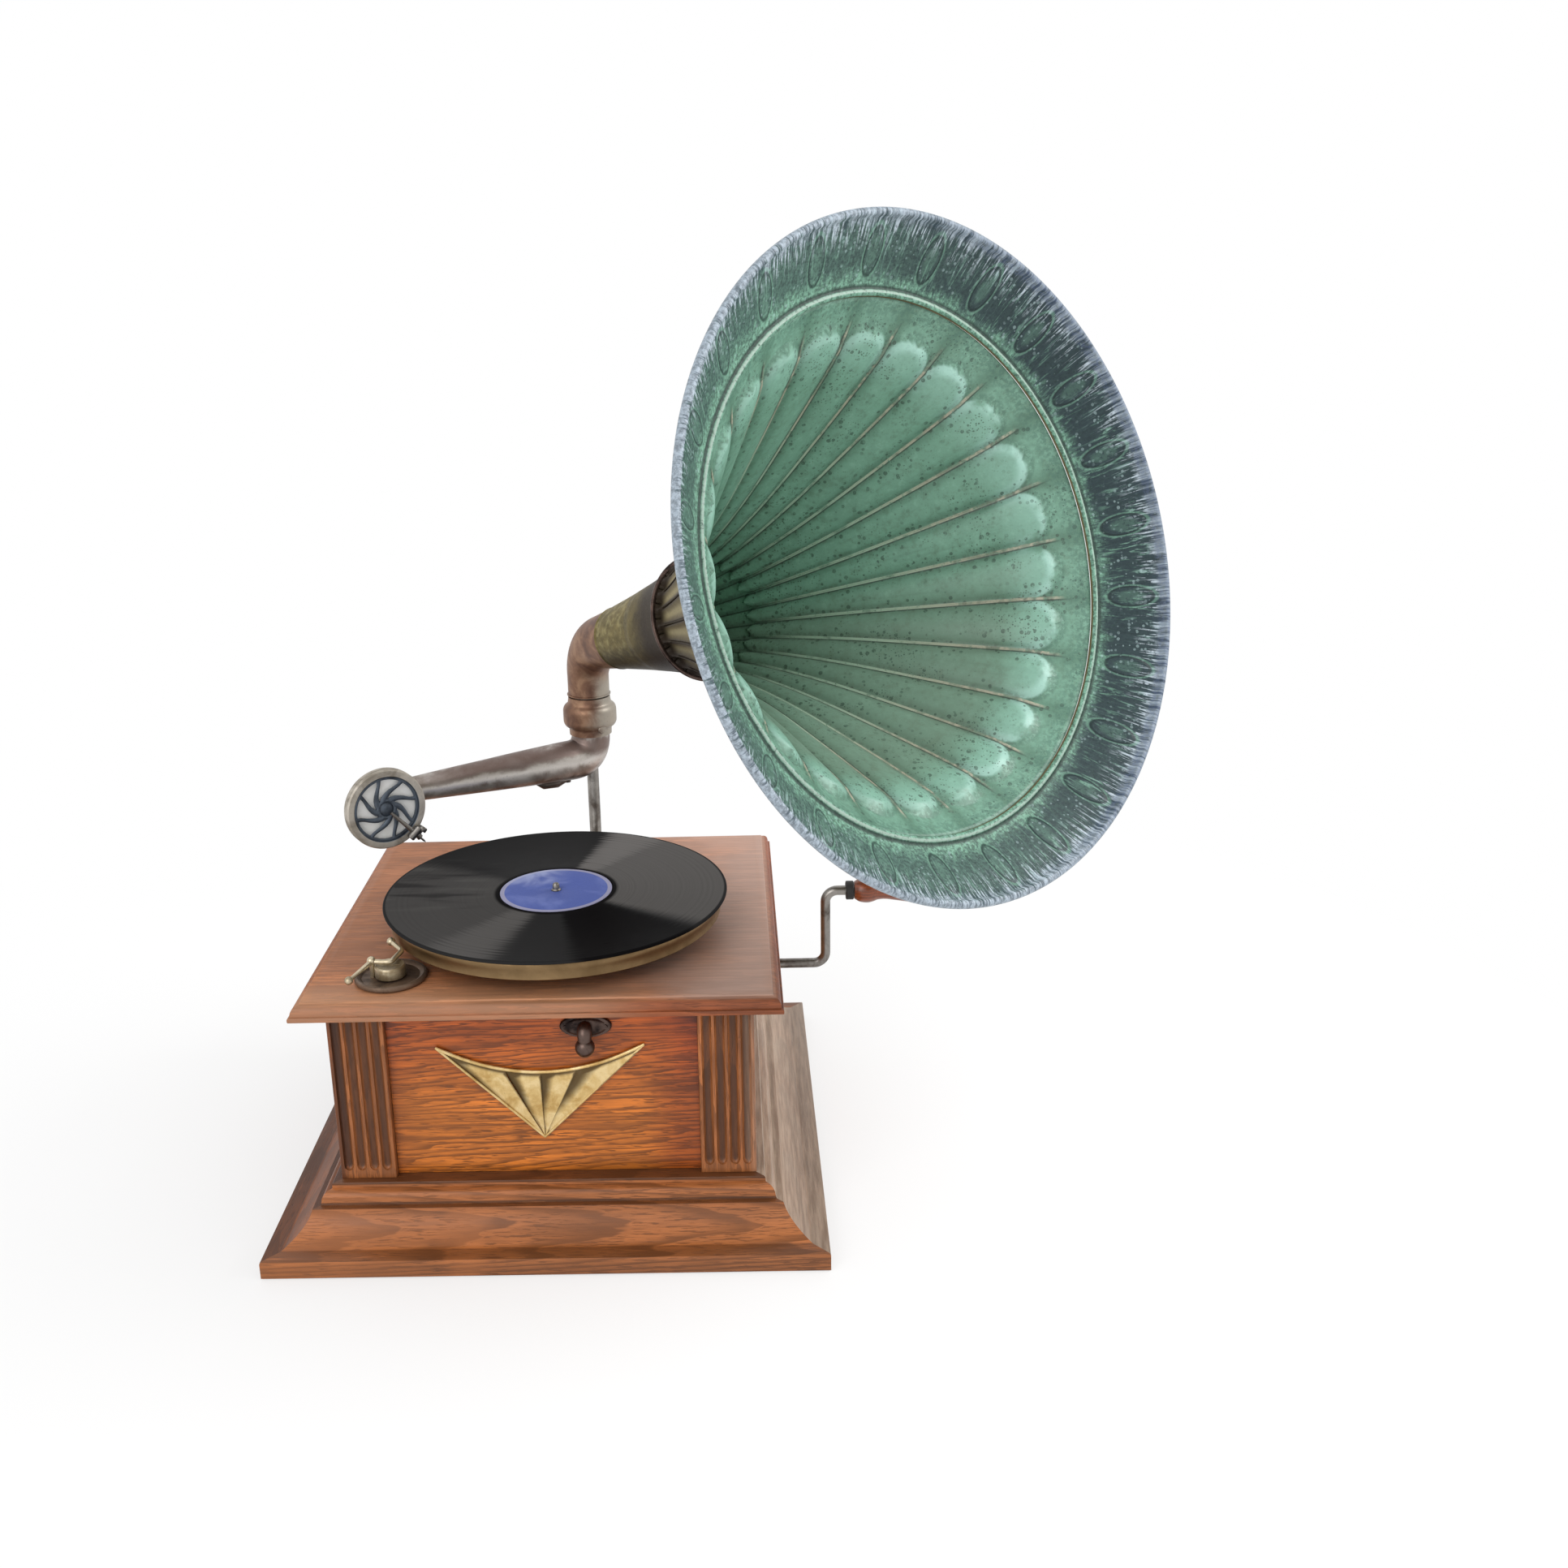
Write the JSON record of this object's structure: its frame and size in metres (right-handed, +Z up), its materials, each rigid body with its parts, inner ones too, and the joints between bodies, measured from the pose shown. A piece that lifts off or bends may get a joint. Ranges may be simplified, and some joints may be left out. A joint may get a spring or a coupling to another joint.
{
  "type": "wind-up gramophone",
  "caption": "Wind-up table gramophone: moulded oak case with spring motor, crank, turntable and record, swivelling tone arm with sound box, and a large fluted open horn.",
  "frame": {"origin": "middle of the case's underside, which stands on the floor", "axes": "+Z up, -Y towards the front of the case, +X towards the crank"},
  "size_m": [0.6367, 0.5019, 0.6891],
  "materials": {
    "dark_oak": "satin varnish, darkened with age",
    "golden_oak": "satin varnish with straight grain",
    "deck_oak": "satin varnish, worn",
    "inner_wood": "plain unfinished board",
    "brass": "aged, dull",
    "aged_nickel": "worn nickel plate",
    "bronze": "dark bronzed",
    "steel": "plain",
    "spring_steel": "blued",
    "shellac": "glossy, finely grooved",
    "label_paper": "printed flat colour",
    "felt": "short pile",
    "horn_green": "patinated green",
    "flare_blue": "patinated blue-grey",
    "horn_bronze": "patinated bronze",
    "handle_wood": "polished",
    "rubber": "dull",
    "mica": "translucent sheet"
  },
  "bodies": {
    "case": {"base_moulding": "dark_oak", "bottom_board": "inner_wood", "front_panel": "golden_oak", "back_panel": "golden_oak", "left_panel": "golden_oak", "right_panel": "golden_oak", "pilaster_front_left": "dark_oak", "pilaster_front_right": "dark_oak", "pilaster_back_left": "dark_oak", "pilaster_back_right": "dark_oak", "deck_board": "deck_oak", "hinge_left": "brass", "hinge_right": "brass", "fan_ornament": "brass", "catch_plate": "bronze", "crank_escutcheon": "brass", "speed_dial": "brass", "motor_top_plate": "steel", "motor_bottom_plate": "steel", "motor_pillar_1": "steel", "motor_pillar_2": "steel", "motor_pillar_3": "steel", "support_rod": "aged_nickel", "rod_flange": "aged_nickel", "horn_socket": "aged_nickel"},
    "turntable": {"turntable_platter": "brass", "turntable_mat": "felt", "spindle": "steel", "worm_wheel": "brass"},
    "record": {"record": "shellac", "record_label": "label_paper"},
    "barrel": {"barrel_drum": "brass", "barrel_cover": "steel", "mainspring": "spring_steel"},
    "train": {"train_arbor": "steel", "train_wheel": "brass"},
    "governor": {"governor_worm": "steel", "governor_weights": "brass", "governor_disc": "brass"},
    "crank": {"crank_rod": "steel", "winding_pinion": "steel", "crank_ferrule": "rubber"},
    "crank_grip": {"crank_handle": "handle_wood"},
    "winding_arbor": {"barrel_arbor": "steel", "winding_gear": "steel"},
    "collar": {"swivel_collar": "aged_nickel"},
    "tonearm": {"tonearm_tube": "aged_nickel", "soundbox_crook": "aged_nickel"},
    "soundbox": {"soundbox_shell": "aged_nickel", "soundbox_grille": "bronze", "diaphragm": "mica", "needle_bar": "steel", "needle": "steel"},
    "horn": {"horn_elbow": "aged_nickel", "horn_neck": "horn_bronze", "horn_bell": "horn_green", "horn_flare": "flare_blue"},
    "speed_control": {"speed_knob": "brass"},
    "brake": {"brake_lever": "brass"},
    "catch": {"catch_knob": "bronze"}
  },
  "joints": [
    {"name": "turntable_spin", "type": "hinge", "parent": "case", "child": "turntable", "pos_m": [0.003, -0.031, 0.21], "axis": [0, 0, 1], "continuous": true},
    {"name": "record_lift", "type": "slide", "parent": "turntable", "child": "record", "axis": [0, 0, 1], "range_m": [0, 0.009]},
    {"name": "train_turn", "type": "hinge", "parent": "case", "child": "train", "pos_m": [0.0256, -0.0419, 0.12], "axis": [0, 0, 1], "continuous": true},
    {"name": "barrel_turn", "type": "hinge", "parent": "case", "child": "barrel", "pos_m": [0.049, 0, 0.107], "axis": [0, 0, 1], "continuous": true},
    {"name": "governor_spin", "type": "hinge", "parent": "case", "child": "governor", "pos_m": [-0.01493, -0.031, 0.113], "axis": [0, 1, 0], "continuous": true},
    {"name": "crank_wind", "type": "hinge", "parent": "case", "child": "crank", "pos_m": [0.14, 0, 0.1415], "axis": [1, 0, 0], "continuous": true},
    {"name": "crank_grip_spin", "type": "hinge", "parent": "crank", "child": "crank_grip", "pos_m": [0.26, 0, 0.2015], "axis": [1, 0, 0], "continuous": true},
    {"name": "arbor_turn", "type": "hinge", "parent": "case", "child": "winding_arbor", "pos_m": [0.049, 0, 0.12], "axis": [0, 0, 1], "continuous": true},
    {"name": "tonearm_swing", "type": "hinge", "parent": "case", "child": "collar", "pos_m": [0.019, 0.132, 0.309], "axis": [0, 0, 1], "range_deg": [-50, 86]},
    {"name": "tonearm_dip", "type": "hinge", "parent": "collar", "child": "tonearm", "pos_m": [0.019, 0.132, 0.3], "axis": [-0.5432, 0.8396, 0], "range_deg": [-4.2, 5]},
    {"name": "soundbox_turn", "type": "hinge", "parent": "tonearm", "child": "soundbox", "pos_m": [-0.12458, -0.00138, 0.2747], "axis": [-0.5432, 0.8396, 0], "range_deg": [-10, 85]},
    {"name": "horn_swivel", "type": "hinge", "parent": "case", "child": "horn", "pos_m": [0.019, 0.132, 0.335], "axis": [0, 0, 1], "continuous": true},
    {"name": "speed_adjust", "type": "hinge", "parent": "case", "child": "speed_control", "pos_m": [-0.1046, -0.118, 0.196], "axis": [0, 0, 1], "range_deg": [-30, 30]},
    {"name": "brake_swing", "type": "hinge", "parent": "case", "child": "brake", "pos_m": [-0.1171, -0.1186, 0.2], "axis": [0, 0, 1], "range_deg": [0, 15]},
    {"name": "catch_turn", "type": "hinge", "parent": "case", "child": "catch", "pos_m": [0.031, -0.14, 0.161], "axis": [0, 1, 0], "range_deg": [-90, 90]}
  ],
  "couplings": [
    {"joint": "train_turn", "follows": "turntable_spin", "ratio": -0.25},
    {"joint": "barrel_turn", "follows": "turntable_spin", "ratio": 0.0625},
    {"joint": "governor_spin", "follows": "turntable_spin", "ratio": 16},
    {"joint": "arbor_turn", "follows": "crank_wind", "ratio": 0.33333}
  ]
}
